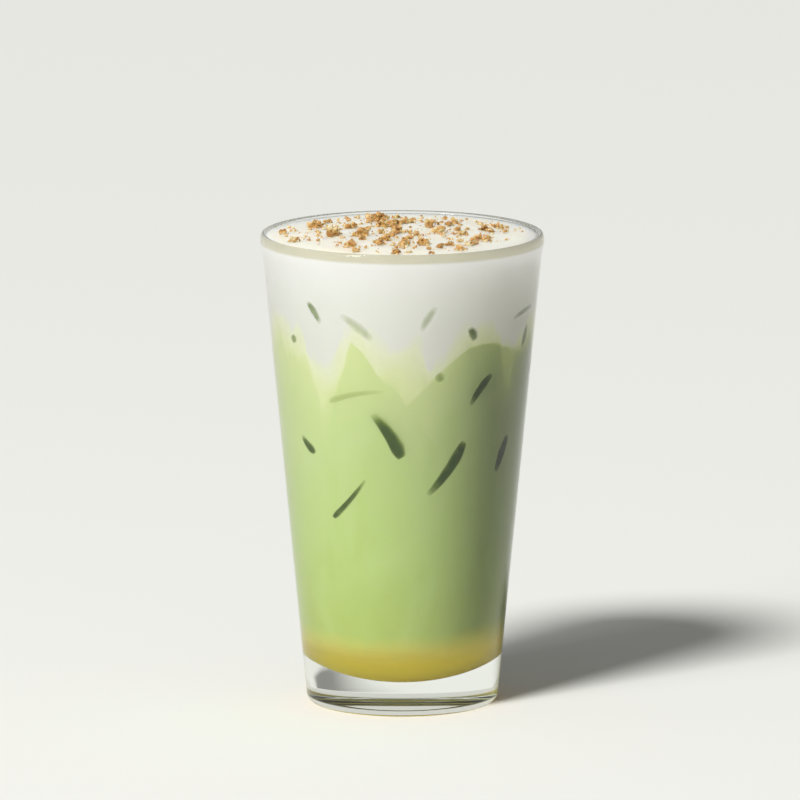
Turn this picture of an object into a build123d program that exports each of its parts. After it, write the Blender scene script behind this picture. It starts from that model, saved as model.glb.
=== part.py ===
from build123d import *

import os
from math import atan2, cos, hypot, pi, radians, sqrt

# An iced matcha latte in the tapered mixing glass that holds it. Four pieces: the glass,
# and in it three layers of drink that fill it to the brim: golden syrup in the bowl of the
# floor, matcha and milk above it, and cream on top. Millimetres, +Z up, the origin at the
# centre of the foot's resting face, and the front of the drink towards -Y.

# The glass outside
glass_height = 149.0
rim_diameter = 88.9          # the widest, across the bead
foot_diameter = 59.6         # where the straight side would meet the table
heel_radius = 3.2            # rounding between the side and the foot
bead_below_lip = 2.4         # from the lip's crest down to the bead's widest ring
bead_proud = 0.35            # how far the bead stands out from the straight side
bead_flare = 4.6             # height over which the side swells out into the bead
foot_ring_width = 6.0        # the flat ring that the glass rests on
underside_rise = 0.8         # how far the middle of the underside is hollowed

# The glass inside
wall_at_rim = 1.95           # straight side to inside, measured level, at the bead
wall_at_foot = 4.8           # the same, carried down to the table
crest_from_inside = 1.05     # the lip's crest stands this far out from the inside wall
lip_inner_round = 0.8        # height of the rounding from the crest to the inside wall
floor_thickness = 9.0        # solid glass under the lowest point of the bowl
bowl_radius = 40.0           # the floor is a shallow bowl
bowl_corner_radius = 4.0     # rounding between the bowl and the wall

# The drink
cream_below_lip = 0.8        # the cream's edge on the wall, below the lip's crest
cream_crown = 1.0            # how far the middle of the cream stands above its edge
cream_depth = 35.0           # mean depth of cream at the wall
syrup_depth = 14.0           # from the bowl's lowest point up to the mean syrup level

# Where two layers meet the level is uneven: (height, lobes round the glass, bearing of one
# crest in degrees, counted from the front towards +X). The cream hangs into the matcha in
# seven soft fingers; the syrup lies a little deeper on the right.
cream_waves = [(5.0, 7, 35), (1.6, 3, 60), (1.2, 2, -80)]
syrup_waves = [(1.3, 1, 85), (1.1, 2, 90)]
wave_grid_step = 6.0         # spacing of the points that such a level is drawn through
wave_margin = 6.0            # how far the level runs on past the wall before it is cut
smooth_degree = 3            # cubic spans, so that the level has no creases


rim_radius = rim_diameter / 2
foot_radius = foot_diameter / 2
bead_height = glass_height - bead_below_lip
cream_edge_height = glass_height - cream_below_lip
cream_level = cream_edge_height - cream_depth
syrup_level = floor_thickness + syrup_depth


def side_radius(z):
    """The straight outer side at height z."""
    return foot_radius + (rim_radius - bead_proud - foot_radius) * z / bead_height


def inner_radius(z):
    """The inside wall at height z."""
    wall = wall_at_foot + (wall_at_rim - wall_at_foot) * z / bead_height
    return side_radius(z) - wall


def bowl_corner():
    """Where the sphere of the floor cuts the cone of the inside wall, before rounding."""
    centre = floor_thickness + bowl_radius
    slope = (inner_radius(glass_height) - inner_radius(0)) / glass_height
    a = 1 + slope**2
    b = inner_radius(0) * slope - centre
    c = inner_radius(0) ** 2 + centre**2 - bowl_radius**2
    z = (-b - sqrt(b**2 - a * c)) / a
    return (inner_radius(z), z)


def draw_inside(top):
    """Adds the bowl of the floor, from the axis outwards, and the wall up to height top."""
    TangentArc((0, floor_thickness), bowl_corner(), tangent=(1, 0))
    Line(bowl_corner(), (inner_radius(top), top))


def corner_at(section, point):
    """The vertex of a section that stands nearest to a point of its outline."""
    return section.vertices().sort_by_distance((*point, 0))[0]


def drink_section():
    """Half section of all the drink: bowl, wall and the crowned surface at the brim."""
    edge = (inner_radius(cream_edge_height), cream_edge_height)
    crown = (0, cream_edge_height + cream_crown)
    with BuildSketch(Plane.XZ) as section:
        with BuildLine():
            draw_inside(cream_edge_height)
            TangentArc(crown, edge, tangent=(1, 0))
            Line(crown, (0, floor_thickness))
        make_face()
        fillet(corner_at(section, bowl_corner()), bowl_corner_radius)
    return section.sketch


def wavy_level(level, waves):
    """The uneven surface where one layer of the drink lies on the next."""
    reach = inner_radius(level) + wave_margin
    steps = round(2 * reach / wave_grid_step)
    ticks = [reach * (2 * i / steps - 1) for i in range(steps + 1)]

    def height(x, y):
        bearing = atan2(x, -y)
        towards_wall = 0.5 - 0.5 * cos(pi * min(hypot(x, y) / reach, 1))
        swell = sum(rise * cos(lobes * (bearing - radians(crest))) for rise, lobes, crest in waves)
        return level + towards_wall * swell

    points = [[(x, y, height(x, y)) for y in ticks] for x in ticks]
    return Face.make_surface_from_array_of_points(points, min_deg=smooth_degree)


cream_underside = wavy_level(cream_level, cream_waves)
syrup_top = wavy_level(syrup_level, syrup_waves)


# The glass: one turned section, from the hollow underside round the foot, side, bead, lip,
# inside wall and bowl back to the axis
flare_start = bead_height - bead_flare
inner_round_height = glass_height - lip_inner_round
ring_start = (foot_radius - heel_radius - foot_ring_width, 0)
ring_end = (foot_radius, 0)
side_end = (side_radius(flare_start), flare_start)
bead = (rim_radius, bead_height)
crest = (inner_radius(glass_height) + crest_from_inside, glass_height)
inner_lip = (inner_radius(inner_round_height), inner_round_height)

with BuildPart() as tumbler:
    with BuildSketch(Plane.XZ) as tumbler_section:
        with BuildLine():
            TangentArc((0, underside_rise), ring_start, tangent=(1, 0))
            Line(ring_start, ring_end)
            side = Line(ring_end, side_end)
            Spline(side_end, bead, tangents=(side % 1, (0, 1)))
            Spline(bead, crest, tangents=((0, 1), (-1, 0)))
            Spline(crest, inner_lip, tangents=((-1, 0), (0, -1)))
            draw_inside(inner_round_height)
            Line((0, floor_thickness), (0, underside_rise))
        make_face()
        fillet(corner_at(tumbler_section, ring_end), heel_radius)
        fillet(corner_at(tumbler_section, bowl_corner()), bowl_corner_radius)
    revolve(axis=Axis.Z)

# The drink's layers are the one filling of the glass, parted at the two uneven levels
with BuildPart() as cream:
    add(drink_section())
    revolve(axis=Axis.Z)
    split(bisect_by=cream_underside, keep=Keep.TOP)

with BuildPart() as matcha_milk:
    add(drink_section())
    revolve(axis=Axis.Z)
    split(bisect_by=cream_underside, keep=Keep.BOTTOM)
    split(bisect_by=syrup_top, keep=Keep.TOP)

with BuildPart() as syrup:
    add(drink_section())
    revolve(axis=Axis.Z)
    split(bisect_by=syrup_top, keep=Keep.BOTTOM)


os.makedirs("parts", exist_ok=True)
pieces = {"tumbler": tumbler, "syrup": syrup, "matcha_milk": matcha_milk, "cream": cream}
for name, piece in pieces.items():
    piece.part.label = name
    export_step(piece.part, f"parts/{name}.step")
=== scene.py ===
import random
from math import atan2, cos, hypot, pi, radians, sin, sqrt

import bmesh
import bpy
from mathutils import Matrix, Vector, noise


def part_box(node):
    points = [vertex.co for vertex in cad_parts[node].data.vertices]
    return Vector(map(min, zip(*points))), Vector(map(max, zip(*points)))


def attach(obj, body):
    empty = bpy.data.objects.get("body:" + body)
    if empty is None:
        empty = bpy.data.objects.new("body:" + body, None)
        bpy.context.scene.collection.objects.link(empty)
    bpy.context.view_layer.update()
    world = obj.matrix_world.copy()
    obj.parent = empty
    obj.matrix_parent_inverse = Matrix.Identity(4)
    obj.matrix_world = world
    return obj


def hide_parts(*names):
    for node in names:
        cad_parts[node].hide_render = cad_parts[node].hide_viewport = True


# An iced matcha latte in its tapered mixing glass. The glass is turned again from the same
# section as the CAD one, only finer. The three layers of drink become one filling whose colour
# changes with height, with ice frozen against the wall and caramelised crumbs on the cream.
# Lengths in the functions are millimetres unless a name says otherwise.

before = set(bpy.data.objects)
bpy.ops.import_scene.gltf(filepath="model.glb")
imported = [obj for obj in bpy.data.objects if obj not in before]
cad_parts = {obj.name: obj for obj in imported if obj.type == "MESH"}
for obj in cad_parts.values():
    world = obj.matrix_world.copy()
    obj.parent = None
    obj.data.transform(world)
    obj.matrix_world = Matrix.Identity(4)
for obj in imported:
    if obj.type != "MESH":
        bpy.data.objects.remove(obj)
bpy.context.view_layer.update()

MM = 0.001
BODY = "root"
SEED = 20

# ---------------------------------------------------------------- sizes shared with the frame
GLASS_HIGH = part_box("tumbler")[1]
CREAM_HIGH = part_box("cream")[1]
SYRUP_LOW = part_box("syrup")[0]

LIP = GLASS_HIGH[2] / MM                  # height of the lip's crest
RIM_RADIUS = GLASS_HIGH[0] / MM           # widest, across the bead
FLOOR = SYRUP_LOW[2] / MM                 # lowest point of the bowl
CROWN = CREAM_HIGH[2] / MM                # middle of the cream's surface

# the glass outside
FOOT_RADIUS = 29.8                        # where the straight side would meet the table
HEEL_RADIUS = 3.2                         # rounding between the side and the foot
BEAD_HEIGHT = LIP - 2.4                   # the bead's widest ring
BEAD_PROUD = 0.35                         # how far it stands out from the straight side
BEAD_FLARE = 4.6                          # height over which the side swells out into it
FOOT_RING = 6.0                           # width of the flat ring that the glass rests on
UNDERSIDE_RISE = 0.8                      # hollow of the underside

# the glass inside
WALL_AT_RIM = 1.95                        # straight side to inside, level, at the bead
WALL_AT_FOOT = 4.8                        # the same, carried down to the table
CREST_FROM_INSIDE = 1.05                  # the lip's crest, outwards from the inside wall
LIP_INNER_ROUND = 0.8                     # height of the rounding inside the lip
BOWL_RADIUS = 40.0                        # the floor is a shallow bowl
BOWL_CORNER = 4.0                         # rounding between the bowl and the wall

# the drink
CREAM_EDGE = LIP - 0.8                    # the cream's edge on the wall
CREAM_LEVEL = CREAM_EDGE - 35.0           # mean level where the cream meets the tea
SYRUP_LEVEL = FLOOR + 14.0                # mean level where the tea meets the syrup
# height, lobes round the glass and bearing of one crest, as in the CAD layers
CREAM_WAVES = [(5.0, 7, 35), (1.6, 3, 60), (1.2, 2, -80)]
SYRUP_WAVES = [(1.3, 1, 85), (1.1, 2, 90)]
INTO_WALL = 0.12                          # the filling reaches this far into the glass
SWELL_HEIGHT = 0.3                        # the poured surface swells about this much
SWELL_LENGTH = 11.0                       # over this distance
CALM_AT_WALL = 8.0                        # and lies calm this near the wall
TURNS = 240                               # facets round the glass and the filling


def side_radius(z):
    """The straight outer side at height z."""
    return FOOT_RADIUS + (RIM_RADIUS - BEAD_PROUD - FOOT_RADIUS) * z / BEAD_HEIGHT


def inner_radius(z):
    """The inside wall at height z."""
    return side_radius(z) - (WALL_AT_FOOT + (WALL_AT_RIM - WALL_AT_FOOT) * z / BEAD_HEIGHT)


# ---------------------------------------------------------------- mesh helpers
def finish_mesh(name, bm, materials, smooth=True):
    """Turns a bmesh drawn in millimetres into a piece in metres."""
    bmesh.ops.recalc_face_normals(bm, faces=bm.faces)
    bmesh.ops.scale(bm, vec=(MM, MM, MM), verts=bm.verts)
    mesh = bpy.data.meshes.new(name)
    bm.to_mesh(mesh)
    bm.free()
    for material in materials:
        mesh.materials.append(material)
    if smooth:
        mesh.polygons.foreach_set("use_smooth", [True] * len(mesh.polygons))
    piece = bpy.data.objects.new(name, mesh)
    bpy.context.scene.collection.objects.link(piece)
    return piece


def turn(section, material_of=None):
    """A closed solid turned from a section of (radius, height), both ends on the axis."""
    bm = bmesh.new()
    rings = []
    for radius, z in section:
        if radius < 1e-6:
            rings.append([bm.verts.new((0, 0, z))])
            continue
        ring = []
        for k in range(TURNS):
            angle = 2 * pi * k / TURNS
            ring.append(bm.verts.new((radius * cos(angle), radius * sin(angle), z)))
        rings.append(ring)
    for row, (low, high) in enumerate(zip(rings, rings[1:])):
        for k in range(TURNS):
            after = (k + 1) % TURNS
            corners = [
                low[k % len(low)], low[after % len(low)],
                high[after % len(high)], high[k % len(high)],
            ]
            unique = list(dict.fromkeys(corners))
            if len(unique) > 2:
                face = bm.faces.new(unique)
                face.material_index = material_of(row) if material_of else 0
    return bm


def arc(start, end, centre, steps):
    """Points from start to end round a centre, the short way."""
    a = atan2(start[1] - centre[1], start[0] - centre[0])
    b = atan2(end[1] - centre[1], end[0] - centre[0])
    swing = (b - a + pi) % (2 * pi) - pi
    radius = hypot(start[0] - centre[0], start[1] - centre[1])
    points = []
    for i in range(steps + 1):
        angle = a + swing * i / steps
        points.append((centre[0] + radius * cos(angle), centre[1] + radius * sin(angle)))
    return points


def curve_between(start, end, start_pull, end_pull, steps):
    """A cubic from start to end; the pulls are the vectors to its two handles."""
    points = []
    for i in range(steps + 1):
        t = i / steps
        weights = ((1 - t) ** 3, 3 * t * (1 - t) ** 2, 3 * t * t * (1 - t), t**3)
        handles = (
            start,
            (start[0] + start_pull[0], start[1] + start_pull[1]),
            (end[0] + end_pull[0], end[1] + end_pull[1]),
            end,
        )
        points.append(tuple(sum(w * h[axis] for w, h in zip(weights, handles)) for axis in (0, 1)))
    return points


def bowl_line(steps_in_bowl=16, steps_in_corner=8):
    """The bowl of the floor from the axis to where the corner's rounding meets the wall."""
    slope = inner_radius(1) - inner_radius(0)
    lean = sqrt(1 + slope * slope)
    bowl_centre = FLOOR + BOWL_RADIUS
    # the corner's centre lies one corner radius inside both the sphere and the cone
    reach = BOWL_RADIUS - BOWL_CORNER
    base = inner_radius(0) - BOWL_CORNER * lean
    a = 1 + slope * slope
    b = slope * base - bowl_centre
    c = base * base + bowl_centre**2 - reach**2
    z = (-b - sqrt(b * b - a * c)) / a
    centre = (base + slope * z, z)
    towards = atan2(centre[1] - bowl_centre, centre[0])
    on_bowl = (BOWL_RADIUS * cos(towards), bowl_centre + BOWL_RADIUS * sin(towards))
    on_wall = (centre[0] + BOWL_CORNER / lean, centre[1] - BOWL_CORNER * slope / lean)
    bowl = arc((0, FLOOR), on_bowl, (0, bowl_centre), steps_in_bowl)
    return bowl + arc(on_bowl, on_wall, centre, steps_in_corner)[1:]


def straight(start, end, steps):
    """Points along a straight line from start to end."""
    return [
        (start[0] + (end[0] - start[0]) * i / steps, start[1] + (end[1] - start[1]) * i / steps)
        for i in range(steps + 1)
    ]


# ---------------------------------------------------------------- materials
MATH = "ShaderNodeMath"

# matcha whisked into milk, from near the cream down to the floor
MATCHA_HIGH = "cddaa0"
MATCHA = "c4d58e"
MATCHA_LOW = "b9c976"
# matcha and cream running into each other, from the tea up
MIXING_GREEN = "d3dca6"
MIXING_PALE = "dfe5b6"
PALE_VEIL = "edf1c9"
# sweet cream, against the wall, in the painted shade under the lip and on top
CREAM = "eeebde"
LIP_SHADE = "b8b298"
CREAM_CLEAN = "efefe2"
CREAM_WARM = "f1ecdb"
CREAM_STAINED = "eee1c6"
# golden sugar syrup, from the bowl's lowest point up
SYRUP_DEEP = "ffc52a"
SYRUP = "ffc83a"
SYRUP_PALE = "e0cb54"
# ice, from its barely touching edge to where it is pressed flat
ICE_EDGE = "a3b268"
ICE_MIDDLE = "708240"
ICE_CORE = "43562b"
# caramelised biscuit, from toasted spots to broken faces
CRUMB_TOASTED = "8a5c28"
CRUMB_DARK = "b28243"
CRUMB_GOLDEN = "cfa262"
CRUMB_PALE = "e2c38a"
CRUMB_BROKEN = "f2e0b8"

# how the drink's layers run into each other, in millimetres unless it says otherwise
MIXING_HEIGHT = 40.0                      # the tea turns to cream over this height
MIXED_AT_LEVEL = 0.72                     # share of cream at the cream's own level
BROAD_DRIFT = 15.0                        # how far the broad and the narrow currents lift it
NARROW_DRIFT = 12.0
TEA_WEAKEST = 95.0                        # height at which the tea is at its palest
TEA_DEEPENS = 75.0                        # and how far below that it is at its deepest
SYRUP_MIXING = 10.0                       # the syrup's edge is this soft
SYRUP_AT_LEVEL = 0.40                     # share of syrup at the syrup's own level
SYRUP_PALES = 14.0                        # height over which the syrup grows paler
WEDGE_FADE = 13.0                         # this far inside its edge a wedge has faded
WEDGE_FADED = 0.55                        # by this share
LIP_BAND = 2.6                            # depth of the band that the lip shades
LIP_BAND_EDGE = 0.7                       # and how soft its lower edge is

# how far light wanders, in metres
TEA_REACH = 0.0015
CREAM_REACH = 0.17


def linear(code):
    """An sRGB hex colour as linear RGBA."""
    channels = [int(code[i:i + 2], 16) / 255 for i in (0, 2, 4)]
    return tuple(c / 12.92 if c <= 0.04045 else ((c + 0.055) / 1.055) ** 2.4 for c in channels) + (1.0,)


def add(tree, kind, *inputs, stops=(), **settings):
    """Adds a node with its settings and links. The inputs fill its sockets in order, and None
    leaves one as it is. A setting is a property or, when its name starts with an underscore, a
    socket. A socket takes a value, a hex colour, an output, or a node, which stands for its
    first output in use. Stops are the places and colours of a ramp."""
    node = tree.nodes.new(kind)
    sockets = dict(enumerate(inputs))
    for name, value in settings.items():
        if name.startswith("_"):
            name = name[1:].replace("_", " ")
            sockets[int(name) if name.isdigit() else name] = value
        else:
            setattr(node, name, value)
    for socket, value in sockets.items():
        if isinstance(value, bpy.types.Node):
            value = next(output for output in value.outputs if output.enabled)
        if isinstance(value, bpy.types.NodeSocket):
            tree.links.new(value, node.inputs[socket])
        elif value is not None:
            node.inputs[socket].default_value = linear(value) if isinstance(value, str) else value
    for _ in stops[2:]:
        node.color_ramp.elements.new(0.5)
    for i, (place, code) in enumerate(stops):
        node.color_ramp.elements[i].position = place
        node.color_ramp.elements[i].color = linear(code)
    return node


def new_material(name):
    """An empty material, and the tree that its nodes go into."""
    material = bpy.data.materials.new(name)
    material.use_nodes = True
    material.node_tree.nodes.clear()
    return material, material.node_tree


def mm_coordinates(tree):
    """Object coordinates in millimetres, and x, y and z apart."""
    where = add(tree, "ShaderNodeTexCoord").outputs["Object"]
    scaled = add(tree, "ShaderNodeVectorMath", where, operation="SCALE", _Scale=1 / MM)
    x, y, z = add(tree, "ShaderNodeSeparateXYZ", scaled).outputs
    return scaled, x, y, z


def stretched_noise(tree, vector, stretch, size, detail=3.0, roughness=0.5, distortion=0.0):
    """Noise from -0.5 to 0.5 whose grains are size mm across, times stretch on each axis."""
    squeezed = add(tree, "ShaderNodeVectorMath", vector, [1 / s for s in stretch], operation="MULTIPLY")
    grains = add(
        tree, "ShaderNodeTexNoise", _Vector=squeezed,
        _Scale=1 / size, _Detail=detail, _Roughness=roughness, _Distortion=distortion,
    )
    return add(tree, MATH, grains, 0.5, operation="SUBTRACT")


def waves(tree, bearing, list_of_waves):
    """How far an uneven level rises at a bearing."""
    total = 0.0
    for rise, lobes, crest in list_of_waves:
        angle = add(tree, MATH, bearing, lobes, -lobes * radians(crest), operation="MULTIPLY_ADD")
        wave = add(tree, MATH, angle, operation="COSINE")
        total = add(tree, MATH, wave, rise, total, operation="MULTIPLY_ADD")
    return total


# Where the two layers have curled into each other. Tongues of tea point up into the cream and
# fingers of cream hang down into the tea: bearing in degrees and height of the tip, how steeply
# the left and the right edge fall away from it, how round the tip is, how soft the edge is and
# how strongly it shows.
TONGUES = [
    (-23.0, 120.6, 2.8, 1.25, 0.6, 1.0, 0.36),
    (4.5, 119.6, 1.5, 3.6, 3.5, 5.0, 0.22),
    (38.0, 119.2, 1.15, 0.35, 9.0, 0.9, 0.36),
    (-50.0, 114.6, 1.7, 1.4, 2.0, 3.0, 0.24),
    (-68.0, 121.0, 1.0, 1.6, 3.5, 5.0, 0.29),
    (76.0, 118.5, 0.6, 0.9, 4.0, 2.5, 0.30),
    (101.0, 120.0, 1.4, 2.0, 4.0, 3.0, 0.30),
    (134.0, 117.5, 0.8, 1.3, 8.0, 1.0, 0.35),
    (168.0, 121.0, 2.0, 1.2, 3.0, 3.0, 0.30),
    (-159.0, 116.0, 1.2, 1.6, 4.0, 4.0, 0.24),
    (-128.0, 120.5, 1.0, 0.8, 7.0, 1.0, 0.35),
    (-97.0, 118.0, 1.5, 1.1, 3.5, 3.5, 0.29),
]
FINGERS = [
    (-41.5, 97.5, 5.5, 3.4, 0.8, 5.0, 0.26),
    (12.2, 110.0, 9.0, 7.0, 0.6, 4.0, 0.19),
    (-61.5, 105.5, 4.0, 6.0, 0.8, 5.0, 0.21),
    (57.0, 101.0, 5.0, 6.5, 1.0, 7.0, 0.16),
    (-8.0, 107.0, 3.0, 2.6, 1.5, 6.0, 0.12),
    (88.0, 104.0, 5.0, 4.0, 1.0, 6.0, 0.21),
    (119.0, 99.0, 4.0, 6.0, 1.0, 6.0, 0.24),
    (152.0, 106.0, 6.0, 4.0, 1.0, 5.0, 0.19),
    (-178.0, 101.0, 5.0, 5.0, 1.0, 6.0, 0.21),
    (-143.0, 98.0, 4.0, 5.0, 0.8, 6.0, 0.25),
    (-112.0, 105.0, 5.0, 3.6, 1.0, 5.0, 0.19),
]


def wedges(tree, bearing, z, melt, list_of_wedges, pointing):
    """The strongest of the wedges at a point: pointing is 1 for tongues up and -1 for fingers
    down, and melt is how many times softer than listed their edges are there."""
    radius = inner_radius(CREAM_LEVEL)
    strongest = 0.0
    for centre, tip, left, right, roundness, soft, strength in list_of_wedges:
        half_turn = add(tree, MATH, bearing, 0.5, -radians(centre) / 2, operation="MULTIPLY_ADD")
        chord = add(tree, MATH, half_turn, operation="SINE")
        aside = add(tree, MATH, chord, 2 * radius, operation="MULTIPLY")
        squared = add(tree, MATH, aside, aside, roundness**2, operation="MULTIPLY_ADD")
        rounded = add(tree, MATH, squared, operation="SQRT")
        spread = add(tree, MATH, rounded, roundness, operation="SUBTRACT")
        to_the_right = add(tree, MATH, aside, 0.0, operation="GREATER_THAN")
        steep = add(tree, MATH, to_the_right, right - left, left, operation="MULTIPLY_ADD")
        fall = add(tree, MATH, spread, steep, operation="MULTIPLY")
        below_tip = add(tree, MATH, z, -pointing, pointing * tip, operation="MULTIPLY_ADD")
        within = add(tree, MATH, below_tip, fall, operation="SUBTRACT")
        melted = add(tree, MATH, within, melt, operation="DIVIDE")
        mask = add(tree, MATH, melted, 1 / soft, 0.5, operation="MULTIPLY_ADD", use_clamp=True)
        deep = add(tree, MATH, within, 1 / WEDGE_FADE, operation="MULTIPLY", use_clamp=True)
        left_over = add(tree, MATH, deep, -WEDGE_FADED, 1.0, operation="MULTIPLY_ADD")
        mask = add(tree, MATH, mask, left_over, operation="MULTIPLY")
        mask = add(tree, MATH, mask, strength, operation="MULTIPLY")
        strongest = add(tree, MATH, mask, strongest, operation="MAXIMUM")
    return strongest


def cream_share(tree, vector, bearing, z):
    """How much of the drink is cream at a point, where it has drifted and curled into the tea."""
    broad = stretched_noise(tree, vector, (1, 1, 2.2), 26, 2.0, 0.5, 0.6)
    narrow = stretched_noise(tree, vector, (1, 1, 3.0), 9, 3.0, 0.55, 0.8)
    curl = stretched_noise(tree, vector, (1, 1, 1.3), 12, 1.0, 0.5, 0.4)
    wisps = stretched_noise(tree, vector, (1, 1, 2.0), 3.4, 2.0, 0.5, 0.3)
    patches = stretched_noise(tree, vector, (1, 1, 1), 15, 1.0)
    edge = add(tree, MATH, waves(tree, bearing, CREAM_WAVES), CREAM_LEVEL, operation="ADD")
    above = add(tree, MATH, z, edge, operation="SUBTRACT")
    above = add(tree, MATH, broad, BROAD_DRIFT, above, operation="MULTIPLY_ADD")
    above = add(tree, MATH, narrow, NARROW_DRIFT, above, operation="MULTIPLY_ADD")
    blend = add(
        tree, MATH, above, 1 / MIXING_HEIGHT, MIXED_AT_LEVEL,
        operation="MULTIPLY_ADD", use_clamp=True,
    )
    # the wedges' edges are bent by the curls, and crisp in one place and melted in another
    bent_bearing = add(tree, MATH, wisps, 0.03, bearing, operation="MULTIPLY_ADD")
    bent_bearing = add(tree, MATH, curl, 0.13, bent_bearing, operation="MULTIPLY_ADD")
    bent_height = add(tree, MATH, wisps, 1.6, z, operation="MULTIPLY_ADD")
    bent_height = add(tree, MATH, curl, 3.5, bent_height, operation="MULTIPLY_ADD")
    melt = add(tree, MATH, patches, 9.0, 2.2, operation="MULTIPLY_ADD")
    melt = add(tree, MATH, melt, 0.7, operation="MAXIMUM")
    tongues = wedges(tree, bent_bearing, bent_height, melt, TONGUES, 1)
    fingers = wedges(tree, bent_bearing, bent_height, melt, FINGERS, -1)
    with_fingers = add(tree, MATH, blend, fingers, operation="ADD")
    return add(tree, MATH, with_fingers, tongues, operation="SUBTRACT", use_clamp=True), narrow


def tea_colour(tree, vector, z):
    """Matcha and milk: deeper towards the floor, with slow marbling of stronger and weaker tea."""
    marble = stretched_noise(tree, vector, (1, 1, 1.8), 19, 3.0, 0.5, 1.2)
    deepest = TEA_WEAKEST - TEA_DEEPENS
    height = add(tree, MATH, z, 1 / TEA_DEEPENS, -deepest / TEA_DEEPENS, operation="MULTIPLY_ADD")
    height = add(tree, MATH, marble, 0.75, height, operation="MULTIPLY_ADD", use_clamp=True)
    stops = [(0.0, MATCHA_LOW), (0.45, MATCHA), (1.0, MATCHA_HIGH)]
    return add(tree, "ShaderNodeValToRGB", height, stops=stops)


def syrup_colour(tree, z):
    """Golden sugar syrup, paler where tea has run into it."""
    depth = add(
        tree, MATH, z, 1 / SYRUP_PALES, -FLOOR / SYRUP_PALES,
        operation="MULTIPLY_ADD", use_clamp=True,
    )
    stops = [(0.0, SYRUP_DEEP), (0.5, SYRUP), (1.0, SYRUP_PALE)]
    return add(tree, "ShaderNodeValToRGB", depth, stops=stops)


def drink_colour(tree):
    """The colour of the layered drink at a point, from its height and its bearing, with how
    much of it is cream and how much is syrup."""
    vector, x, y, z = mm_coordinates(tree)
    forward = add(tree, MATH, y, -1.0, operation="MULTIPLY")
    bearing = add(tree, MATH, x, forward, operation="ARCTAN2")
    to_cream, narrow = cream_share(tree, vector, bearing, z)
    layered = add(tree, "ShaderNodeValToRGB", to_cream, stops=[
        (0.0, MATCHA_HIGH), (0.42, MIXING_GREEN), (0.62, MIXING_PALE),
        (0.88, PALE_VEIL), (1.0, CREAM),
    ])
    tea_here = add(tree, MATH, to_cream, -5.0, 1.0, operation="MULTIPLY_ADD", use_clamp=True)
    tea = tea_colour(tree, vector, z)
    green = add(tree, "ShaderNodeMix", tea_here, data_type="RGBA", _6=layered, _7=tea)
    # syrup under it, with a soft edge that wanders a little
    edge = add(tree, MATH, waves(tree, bearing, SYRUP_WAVES), SYRUP_LEVEL, operation="ADD")
    below = add(tree, MATH, edge, z, operation="SUBTRACT")
    below = add(tree, MATH, narrow, 3.0, below, operation="MULTIPLY_ADD")
    to_syrup = add(
        tree, MATH, below, 1 / SYRUP_MIXING, SYRUP_AT_LEVEL,
        operation="MULTIPLY_ADD", use_clamp=True,
    )
    syrup = syrup_colour(tree, z)
    whole = add(tree, "ShaderNodeMix", to_syrup, data_type="RGBA", _6=green, _7=syrup)
    return whole, to_cream, to_syrup


def drink_at_wall_material():
    """Milk, matcha and sugar syrup seen through the wall: cloudy liquids wet against glass. Light
    goes a long way in the cream and the syrup, and a short way in the tea, and the glass alone
    makes the gloss."""
    material, tree = new_material("layered_milk_and_matcha")
    colour, to_cream, to_syrup = drink_colour(tree)
    milky = add(tree, MATH, to_cream, 1.3, operation="POWER")
    sugary = add(tree, MATH, to_syrup, 0.8, operation="MULTIPLY")
    cloudy = add(tree, MATH, milky, sugary, operation="MAXIMUM")
    reach = add(tree, MATH, cloudy, CREAM_REACH, TEA_REACH, operation="MULTIPLY_ADD")
    # painted shade: a beige band on the last of the cream, where the heavy bead of the lip shades it
    vector, x, y, z = mm_coordinates(tree)
    band = add(
        tree, MATH, z, 1 / LIP_BAND_EDGE, -(CREAM_EDGE - LIP_BAND) / LIP_BAND_EDGE,
        operation="MULTIPLY_ADD", use_clamp=True,
    )
    shaded = add(tree, "ShaderNodeMix", band, data_type="RGBA", _6=colour, _7=LIP_SHADE)
    shader = add(
        tree, "ShaderNodeBsdfPrincipled", _Base_Color=shaded,
        _Roughness=0.6, _IOR=1.35, _Specular_IOR_Level=0.05,
        _Subsurface_Weight=1.0, _Subsurface_Scale=reach, _Subsurface_Radius=(1.0, 1.0, 0.9),
    )
    add(tree, "ShaderNodeOutputMaterial", shader)
    return material


def cream_top_material():
    """Sweet cream poured over the drink: a soft satin surface, faintly uneven, tinted by the
    caramel dust that lies on it."""
    material, tree = new_material("poured_cream")
    vector, x, y, z = mm_coordinates(tree)
    patches = stretched_noise(tree, vector, (1, 1, 1), 14, 3.0, 0.55)
    fine = stretched_noise(tree, vector, (1, 1, 1), 1.1, 2.0, 0.6)
    stain = add(tree, MATH, patches, 1.6, 0.42, operation="MULTIPLY_ADD", use_clamp=True)
    stops = [(0.0, CREAM_CLEAN), (0.55, CREAM_WARM), (1.0, CREAM_STAINED)]
    colour = add(tree, "ShaderNodeValToRGB", stain, stops=stops)
    swell = add(tree, MATH, patches, 0.5, operation="MULTIPLY")
    height = add(tree, MATH, fine, 0.12, swell, operation="MULTIPLY_ADD")
    bump = add(tree, "ShaderNodeBump", _Height=height, _Strength=0.5, _Distance=0.0012)
    shader = add(
        tree, "ShaderNodeBsdfPrincipled", _Base_Color=colour, _Normal=bump,
        _Roughness=0.42, _IOR=1.35,
        _Subsurface_Weight=1.0, _Subsurface_Scale=0.012, _Subsurface_Radius=(1.0, 0.9, 0.7),
    )
    add(tree, "ShaderNodeOutputMaterial", shader)
    return material


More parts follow.
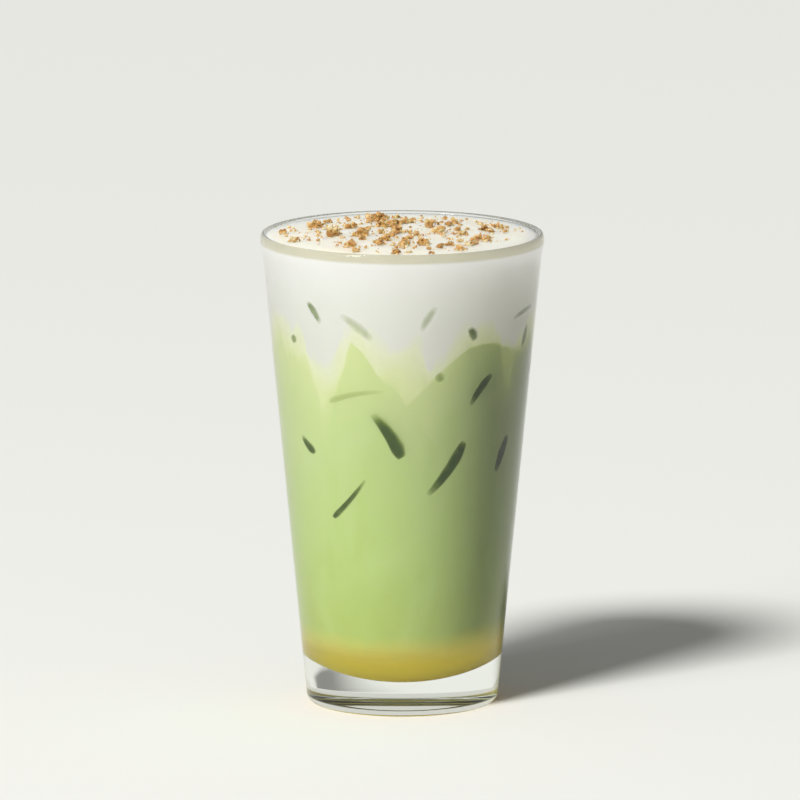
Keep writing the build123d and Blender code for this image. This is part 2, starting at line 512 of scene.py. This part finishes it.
def glass_material():
    """Pressed soda-lime glass: clear and smooth, with a trace of green. Its shadow rays pass,
    because real glass lights what it holds."""
    material, tree = new_material("pressed_soda_lime_glass")
    vector, x, y, z = mm_coordinates(tree)
    ripple = stretched_noise(tree, vector, (1, 1, 2), 24, 1.0)
    bump = add(tree, "ShaderNodeBump", _Height=ripple, _Strength=0.12, _Distance=0.001)
    glass = add(
        tree, "ShaderNodeBsdfPrincipled", _Base_Color="fbfefb", _Normal=bump,
        _Roughness=0.015, _IOR=1.5, _Transmission_Weight=1.0,
    )
    clear = add(tree, "ShaderNodeBsdfTransparent", "fcfdfc")
    path = add(tree, "ShaderNodeLightPath")
    mix = add(tree, "ShaderNodeMixShader", path.outputs["Is Shadow Ray"], glass, clear)
    add(tree, "ShaderNodeOutputMaterial", mix)
    return material


def ice_material():
    """Clear ice pressed against the wall. Where its edge touches, one looks through it into
    dark tea; where it falls away from the wall, the drink in front hides it."""
    material, tree = new_material("clear_ice_in_matcha")
    vector, x, y, z = mm_coordinates(tree)
    cloud = stretched_noise(tree, vector, (1, 1, 1), 2.4, 2.0)
    mottled = add(tree, MATH, cloud, 0.6, 1.0, operation="MULTIPLY_ADD")
    tint = add(tree, "ShaderNodeAttribute", attribute_name=TINT).outputs["Fac"]
    touch = add(tree, MATH, tint, mottled, operation="MULTIPLY", use_clamp=True)
    share = add(tree, MATH, touch, 1.35, operation="MULTIPLY", use_clamp=True)
    stops = [(0.15, ICE_EDGE), (0.52, ICE_MIDDLE), (0.92, ICE_CORE)]
    colour = add(tree, "ShaderNodeValToRGB", touch, stops=stops)
    shader = add(
        tree, "ShaderNodeBsdfPrincipled", _Base_Color=colour, _Alpha=share,
        _Roughness=0.6, _IOR=1.31, _Specular_IOR_Level=0.05,
    )
    add(tree, "ShaderNodeOutputMaterial", shader)
    return material


def crumb_material():
    """Crushed caramelised biscuit: golden sugar with toasted spots and paler broken faces."""
    material, tree = new_material("caramelised_crumb")
    vector, x, y, z = mm_coordinates(tree)
    lump = stretched_noise(tree, vector, (1, 1, 1), 2.6, 2.0)
    grain = stretched_noise(tree, vector, (1, 1, 1), 0.45, 3.0, 0.65)
    tone = add(tree, MATH, grain, 1.3, 0.52, operation="MULTIPLY_ADD")
    tone = add(tree, MATH, lump, 2.2, tone, operation="MULTIPLY_ADD", use_clamp=True)
    colour = add(tree, "ShaderNodeValToRGB", tone, stops=[
        (0.0, CRUMB_TOASTED), (0.22, CRUMB_DARK), (0.5, CRUMB_GOLDEN),
        (0.75, CRUMB_PALE), (1.0, CRUMB_BROKEN),
    ])
    bump = add(tree, "ShaderNodeBump", _Height=grain, _Strength=0.9, _Distance=0.0004)
    shader = add(
        tree, "ShaderNodeBsdfPrincipled", _Base_Color=colour, _Normal=bump,
        _Roughness=0.42, _IOR=1.5, _Subsurface_Weight=0.3, _Subsurface_Scale=0.0012,
    )
    add(tree, "ShaderNodeOutputMaterial", shader)
    return material


# ---------------------------------------------------------------- the glass
def glass_section():
    """The turned section, from the hollow underside out, up the side and back down inside."""
    slope = side_radius(1) - side_radius(0)
    lean = sqrt(1 + slope * slope)
    ring_start = FOOT_RADIUS - HEEL_RADIUS - FOOT_RING
    hollow = (ring_start**2 + UNDERSIDE_RISE**2) / (2 * UNDERSIDE_RISE)
    underside = arc((0, UNDERSIDE_RISE), (ring_start, 0), (0, UNDERSIDE_RISE - hollow), 10)
    heel_centre = (FOOT_RADIUS + slope * HEEL_RADIUS - HEEL_RADIUS * lean, HEEL_RADIUS)
    heel_low = (heel_centre[0], 0)
    heel_high = (heel_centre[0] + HEEL_RADIUS / lean, HEEL_RADIUS - HEEL_RADIUS * slope / lean)
    heel = arc(heel_low, heel_high, heel_centre, 10)
    flare = BEAD_HEIGHT - BEAD_FLARE
    side_end = (side_radius(flare), flare)
    bead = (RIM_RADIUS, BEAD_HEIGHT)
    crest = (inner_radius(LIP) + CREST_FROM_INSIDE, LIP)
    inner_lip_z = LIP - LIP_INNER_ROUND
    inner_lip = (inner_radius(inner_lip_z), inner_lip_z)
    pull = BEAD_FLARE / 3
    section = list(underside)
    section += straight(underside[-1], heel_low, 4)[1:]
    section += heel[1:]
    section += straight(heel_high, side_end, 40)[1:]
    section += curve_between(side_end, bead, (slope * pull, pull), (0, -pull), 8)[1:]
    section += curve_between(bead, crest, (0, 1.3), (0.75, 0), 10)[1:]
    section += curve_between(crest, inner_lip, (-0.6, 0), (0, 0.45), 6)[1:]
    bowl = bowl_line()
    section += straight(inner_lip, bowl[-1], 30)[1:]
    section += bowl[::-1][1:]
    return section


def make_glass():
    """The glass itself, clear all through."""
    glass = finish_mesh("tumbler_glass", turn(glass_section()), [glass_material()])
    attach(glass, BODY)
    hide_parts("tumbler")


# ---------------------------------------------------------------- the drink
def cream_surface(r):
    """Height of the crowned cream at distance r from the axis."""
    edge = inner_radius(CREAM_EDGE)
    crown = CROWN - CREAM_EDGE
    ball = (edge**2 + crown**2) / (2 * crown)
    return CROWN - ball + sqrt(ball**2 - r**2)


def make_drink():
    """The filling, from the bowl up the wall to the poured surface."""
    edge = inner_radius(CREAM_EDGE)
    bowl = [(r + INTO_WALL, z) if r > 0 else (r, z) for r, z in bowl_line()]
    wall = straight(bowl[-1], (edge + INTO_WALL, CREAM_EDGE), 60)[1:]
    surface_steps = 44
    level_rim = 0.3                       # what lies this near the wall does not swell
    surface = []
    for i in range(1, surface_steps + 1):
        r = edge * (1 - i / surface_steps)
        surface.append((r, cream_surface(r)))
    section = bowl + wall + surface
    first_top_row = len(bowl) + len(wall) - 1
    bm = turn(section, lambda row: 1 if row >= first_top_row else 0)
    for vert in bm.verts:
        r = hypot(vert.co.x, vert.co.y)
        if vert.co.z > CREAM_EDGE + 0.001 and r < edge - level_rim:
            calm = min((edge - r) / CALM_AT_WALL, 1)
            swell = noise.fractal(Vector((vert.co.x, vert.co.y, 4)) / SWELL_LENGTH, 0.6, 2.0, 3)
            vert.co.z += SWELL_HEIGHT * calm * swell
    drink = finish_mesh("layered_drink", bm, [drink_at_wall_material(), cream_top_material()])
    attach(drink, BODY)
    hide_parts("cream", "matcha_milk", "syrup")


# ---------------------------------------------------------------- ice
TINT = "tint"                             # how dark the ice shows, kept at its vertices
ICE_AT_BACK = 15
ICE_PROUD = 0.05                          # the pressed edge stands this far out of the drink
# Each is a cube's edge that lies against the wall along a line: bearing and height of one end,
# then of the other, how far along its widest place lies, how wide that is, how soft its left
# and its right side are, and how dark it shows. Bearings in degrees, front towards +X.
ICE_EDGES = [
    (-45.5, 132.2, -38.6, 125.4, 0.4, 2.4, 0.6, 1.2, 0.60),
    (-28.4, 129.2, -13.2, 121.3, 0.55, 3.0, 1.6, 1.2, 0.34),
    (15.0, 132.4, 8.2, 124.4, 0.5, 2.4, 1.8, 1.2, 0.34),
    (31.0, 124.9, 34.6, 120.4, 0.55, 2.8, 0.8, 1.2, 0.66),
    (71.5, 122.6, 68.0, 115.0, 0.5, 2.6, 1.0, 1.0, 0.60),
    (-57.6, 120.6, -56.2, 117.8, 0.5, 2.8, 1.2, 1.2, 0.62),
    (46.0, 109.2, 33.8, 99.4, 0.35, 2.5, 0.5, 1.0, 0.92),
    (-14.8, 98.2, 0.2, 83.4, 0.78, 4.0, 0.45, 1.8, 1.0),
    (-57.6, 88.3, -48.0, 83.4, 0.7, 2.6, 0.5, 1.8, 0.85),
    (32.2, 88.8, 12.6, 71.4, 0.28, 3.2, 0.9, 0.6, 0.95),
    (62.2, 88.4, 54.2, 76.6, 0.5, 2.9, 0.6, 0.6, 1.0),
    (-18.6, 76.8, -39.8, 63.0, 0.86, 1.7, 0.6, 1.5, 0.85),
    (-7.6, 105.1, -37.5, 100.6, 0.85, 1.9, 1.5, 1.0, 0.30),
    (16.6, 111.0, 18.8, 108.0, 0.5, 3.0, 1.3, 1.3, 0.45),
    (76.0, 127.9, 57.0, 125.4, 0.5, 1.8, 1.2, 1.2, 0.42),
]


def add_cube(bm, tints, line, rng):
    """A melted cube with one rounded edge pressed against the wall. It is drawn in the wall's
    own unrolled coordinates, so that the pressed part follows the wall's curve."""
    bearing_0, z_0, bearing_1, z_1, widest, width, soft_left, soft_right, tint = line
    radius = inner_radius((z_0 + z_1) / 2)
    run = (radius * radians(bearing_1 - bearing_0), z_1 - z_0)
    length = hypot(*run)
    along = (run[0] / length, run[1] / length)
    across = (-along[1], along[0])
    if across[0] < 0:
        across = (-across[0], -across[1])
    bow = rng.uniform(-0.06, 0.06) * length
    steps = 28
    depth = rng.uniform(12, 17)
    # places across the edge, as shares of half its width, left to right
    shares = (-6.0, -3.0, -1.8, -1.4, -1.15, -1.0, -0.8, -0.6, -0.4, -0.2, 0.0)
    shares += tuple(-share for share in shares[-2::-1])
    rings = []
    for i in range(-2, steps + 3):
        t = i / steps
        fullness = t / widest if t < widest else (1 - t) / (1 - widest)
        inside = max(fullness, 0.0)
        half = width * 0.62 * (0.3 + 0.7 * sqrt(inside))
        darkest = min(1.0, 2.2 * inside) ** 0.8
        ring = []
        for share in shares:
            softness = soft_left if share < 0 else soft_right
            fade = 1 - min(1.0, abs(share)) ** (3.2 / softness)
            shade = darkest * fade
            if abs(share) <= 1.0 and inside > 0:
                excess = ICE_PROUD * (0.4 + 0.6 * fade)
            else:
                # beside and beyond the pressed edge the cube falls away into the drink
                excess = -0.35 - 2.0 * max(0.0, abs(share) - 1.0) - 20 * max(-fullness, 0.0)
            off = share * half
            bent = bow * 4 * t * (1 - t)
            u = radius * radians(bearing_0) + run[0] * t + across[0] * (off + bent)
            z = z_0 + run[1] * t + across[1] * (off + bent)
            angle = u / radius
            r = inner_radius(z) + INTO_WALL + max(excess, -depth * 0.6)
            ring.append(((r * sin(angle), -r * cos(angle), z), tint * shade))
        angle = radians(bearing_0) + run[0] * t / radius
        middle = z_0 + run[1] * t
        r = inner_radius(middle) - depth
        ring.append(((r * sin(angle), -r * cos(angle), middle), 0.0))
        row = []
        for point, shade in ring:
            vert = bm.verts.new(point)
            vert[tints] = shade
            row.append(vert)
        rings.append(row)
    count = len(rings[0])
    for low, high in zip(rings, rings[1:]):
        for k in range(count):
            bm.faces.new([low[k], low[(k + 1) % count], high[(k + 1) % count], high[k]])
    bm.faces.new(rings[0][::-1])
    bm.faces.new(rings[-1])


def make_ice():
    """All the ice that reaches the wall: the front listed, the back at random."""
    rng = random.Random(SEED)
    bm = bmesh.new()
    tints = bm.verts.layers.float.new(TINT)
    for line in ICE_EDGES:
        add_cube(bm, tints, line, rng)
    # the back, spread evenly from one side to the other
    for i in range(ICE_AT_BACK):
        bearing = 88 + (272 - 88) * (i + rng.uniform(0.2, 0.8)) / ICE_AT_BACK
        z = rng.uniform(70, 130)
        lean = rng.uniform(-16, 16)
        drop = rng.uniform(5, 16)
        widest = rng.uniform(0.3, 0.7)
        width = rng.uniform(1.8, 3.6)
        soft_left = rng.uniform(0.5, 1.8)
        soft_right = rng.uniform(0.5, 1.8)
        tint = rng.uniform(0.3, 0.6) if z > CREAM_LEVEL else rng.uniform(0.8, 1.0)
        line = (bearing, z, bearing + lean, z - drop, widest, width, soft_left, soft_right, tint)
        add_cube(bm, tints, line, rng)
    ice = finish_mesh("ice_cubes", bm, [ice_material()])
    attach(ice, BODY)


# ---------------------------------------------------------------- crumbs
SPRINKLED = [(66, 1.7, 3.0), (150, 0.7, 1.5), (380, 0.25, 0.7)]   # how many, smallest, largest
SPRINKLED_RADIUS = 39.0
CLEAR_OF_WALL = 40.0                      # no grain reaches further out than this
# The largest lumps: (x, y, width), +Y to the back.
LUMPS = [
    (-33.7, -14.4, 3.4), (-27.0, 13.3, 5.0), (-16.2, 8.8, 4.0), (-21.8, -4.9, 5.6),
    (-16.2, -24.1, 3.8), (-12.6, -6.4, 5.6), (-7.9, 23.4, 5.8), (-6.7, 10.8, 4.4),
    (-2.6, 14.2, 3.8), (-5.1, -15.0, 4.0), (-7.3, -22.8, 3.8), (-1.7, -0.9, 4.7),
    (-2.0, -36.9, 3.2), (0.6, -25.0, 3.8), (1.0, 17.2, 3.8), (8.6, 10.6, 3.8),
    (11.8, 0.5, 4.4), (30.0, 11.5, 3.4), (25.5, 4.2, 3.4), (23.7, -10.4, 3.4),
    (26.5, -14.0, 3.1), (6.6, -22.8, 4.2), (17.9, -30.5, 3.4), (-37.2, 0.5, 2.8),
    (14.7, 13.3, 3.1), (18.6, -3.8, 3.1), (20.6, -23.5, 2.8), (13.6, 27.9, 2.6),
]


def add_grain(bm, x, y, lift, size, rng):
    """One broken grain: a rough many-sided chip."""
    if hypot(x, y) > CLEAR_OF_WALL - size:
        return
    made = bmesh.ops.create_icosphere(bm, subdivisions=1 if size < 1.3 else 2, radius=1.0)["verts"]
    shape = Vector((rng.uniform(0.7, 1.15), rng.uniform(0.7, 1.15), rng.uniform(0.55, 0.95)))
    spin = Matrix.Rotation(rng.uniform(0, 2 * pi), 3, "Z")
    spin = spin @ Matrix.Rotation(rng.uniform(-0.8, 0.8), 3, "X")
    offset = Vector([rng.uniform(-50, 50) for _ in range(3)])
    base = Vector((x, y, cream_surface(hypot(x, y)) + lift))
    for vert in made:
        direction = vert.co.normalized()
        rough = 1 + 0.6 * noise.noise(direction * 1.5 + offset)
        rough += 0.5 * noise.noise(direction * 3.7 + offset)
        point = Vector([c * s for c, s in zip(direction, shape)]) * size * rough
        vert.co = base + spin @ point


def add_lump(bm, x, y, width, rng):
    """A lump of fused grains, sunk a little into the cream, with smaller grains round it."""
    if width < 1.5:
        add_grain(bm, x, y, width * 0.16, width * 0.5, rng)
        return
    half = width * 0.58
    add_grain(bm, x, y, half * 0.3, half * 0.6, rng)
    for _ in range(rng.randint(9, 14) if width > 2.6 else rng.randint(3, 5)):
        angle = rng.uniform(0, 2 * pi)
        away = half * rng.uniform(0.25, 0.95)
        lift = half * rng.uniform(0.0, 1.0) * (1 - away / half * 0.7)
        size = half * rng.uniform(0.18, 0.40)
        add_grain(bm, x + away * cos(angle), y + away * sin(angle), lift, size, rng)


def make_crumbs():
    """The crushed biscuit on the cream: the large lumps listed, then sprinkled ones."""
    rng = random.Random(SEED + 1)
    bm = bmesh.new()
    for x, y, width in LUMPS:
        add_lump(bm, x, y, width, rng)
    for count, low, high in SPRINKLED:
        for _ in range(count):
            r = SPRINKLED_RADIUS * sqrt(rng.random()) * rng.uniform(0.75, 1.0)
            angle = rng.uniform(0, 2 * pi)
            add_lump(bm, r * cos(angle), r * sin(angle), rng.uniform(low, high), rng)
    crumbs = finish_mesh("caramel_crumbs", bm, [crumb_material()], smooth=False)
    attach(crumbs, BODY)


# ---------------------------------------------------------------- floor, light and camera
WORLD_LIGHT = 0.24
ROOM_WHITE = "f8f8f6"                     # the light that comes from all round
STUDIO_GREY = "d3d3ce"                    # how the backdrop reads where it is seen
PAPER = "ebebe6"                          # the floor as it is seen
PAPER_DIM = "7c7d74"                      # the floor as it lights the glass from afar
PAPER_NEAR = 65.0                         # it lights the glass fully out to here, in mm
PAPER_FADE = 50.0                         # and dims over this much more
FLOOR_REACH = 12000.0                     # half the floor's side, in mm
GLASS_MIDDLE = 0.08                       # where the lamps point, in metres up


def looked_at(tree):
    """1 where the backdrop is seen, straight or through the glass, and 0 where it gives light."""
    path = add(tree, "ShaderNodeLightPath").outputs
    not_scattered = add(tree, MATH, path["Diffuse Depth"], 0.5, operation="LESS_THAN")
    glassy = add(tree, MATH, path["Is Transmission Ray"], path["Is Glossy Ray"], operation="MAXIMUM")
    through = add(tree, MATH, not_scattered, glassy, operation="MULTIPLY")
    return add(tree, MATH, path["Is Camera Ray"], through, operation="MAXIMUM")


def floor_material():
    """Pale studio paper. It gives back less light than it shows, so that the drink keeps the
    shading of a single soft lamp."""
    material, tree = new_material("pale_studio_paper")
    vector, x, y, z = mm_coordinates(tree)
    squared = add(tree, MATH, x, x, operation="MULTIPLY")
    squared = add(tree, MATH, y, y, squared, operation="MULTIPLY_ADD")
    out = add(tree, MATH, squared, operation="SQRT")
    near = add(
        tree, MATH, out, -1 / PAPER_FADE, PAPER_NEAR / PAPER_FADE + 1,
        operation="MULTIPLY_ADD", use_clamp=True,
    )
    pale = add(tree, MATH, looked_at(tree), near, operation="MAXIMUM")
    colour = add(tree, "ShaderNodeMix", pale, data_type="RGBA", _6=PAPER_DIM, _7=PAPER)
    shader = add(tree, "ShaderNodeBsdfDiffuse", colour)
    add(tree, "ShaderNodeOutputMaterial", shader)
    return material


def away_from(bearing, elevation):
    """The direction towards a bearing and an elevation, both in degrees."""
    return Vector((
        sin(radians(bearing)) * cos(radians(elevation)),
        -cos(radians(bearing)) * cos(radians(elevation)),
        sin(radians(elevation)),
    ))


def make_lamp(light, bearing, elevation, distance):
    """Hangs a lamp so that it shines at the middle of the glass."""
    lamp = bpy.data.objects.new(light.name, light)
    bpy.context.scene.collection.objects.link(lamp)
    direction = away_from(bearing, elevation)
    lamp.location = direction * distance + Vector((0, 0, GLASS_MIDDLE))
    lamp.rotation_euler = (-direction).to_track_quat("-Z", "Y").to_euler()
    lamp.visible_transmission = False
    return lamp


def make_floor():
    """The sheet of paper that the glass stands on."""
    bm = bmesh.new()
    bmesh.ops.create_grid(bm, x_segments=2, y_segments=2, size=FLOOR_REACH)
    floor = finish_mesh("floor", bm, [floor_material()])
    floor.location.z = -0.0001


def make_world():
    """A soft pale room: it lights the glass dimly and is seen as a light grey."""
    world = bpy.data.worlds.new("soft_studio")
    bpy.context.scene.world = world
    world.use_nodes = True
    world.cycles.sampling_method = "NONE"
    tree = world.node_tree
    tree.nodes.clear()
    soft = add(tree, "ShaderNodeBackground", ROOM_WHITE, _Strength=WORLD_LIGHT)
    seen = add(tree, "ShaderNodeBackground", STUDIO_GREY, _Strength=1.0)
    mix = add(tree, "ShaderNodeMixShader", looked_at(tree), soft, seen)
    add(tree, "ShaderNodeOutputWorld", mix)


def make_lamps():
    """A key lamp that shades the drink and throws the shadow, and a softbox that draws the
    highlight on the lip."""
    key = bpy.data.lights.new("key", "SUN")
    key.angle = 0.22
    key.energy = 3.1
    make_lamp(key, -34, 46, 2).visible_glossy = False
    softbox = bpy.data.lights.new("softbox", "AREA")
    softbox.shape = "RECTANGLE"
    softbox.size = 0.3
    softbox.size_y = 0.8
    softbox.energy = 5.0
    make_lamp(softbox, -44, 38, 1.6)


def make_camera():
    """A long lens, ten degrees above the table."""
    distance = 5.0
    elevation = radians(9.9)
    aim = Vector((-0.0007, 0, 0.0958))
    camera_data = bpy.data.cameras.new("camera")
    camera_data.lens = 718
    camera_data.sensor_width = 36
    camera_data.clip_end = 20
    camera = bpy.data.objects.new("camera", camera_data)
    bpy.context.scene.collection.objects.link(camera)
    back = Vector((0, -cos(elevation), sin(elevation)))
    camera.location = aim + back * distance
    camera.rotation_euler = (-back).to_track_quat("-Z", "Y").to_euler()
    bpy.context.scene.camera = camera


make_glass()
make_drink()
make_ice()
make_crumbs()
make_floor()
make_world()
make_lamps()
make_camera()
bpy.context.scene.view_settings.view_transform = "Standard"
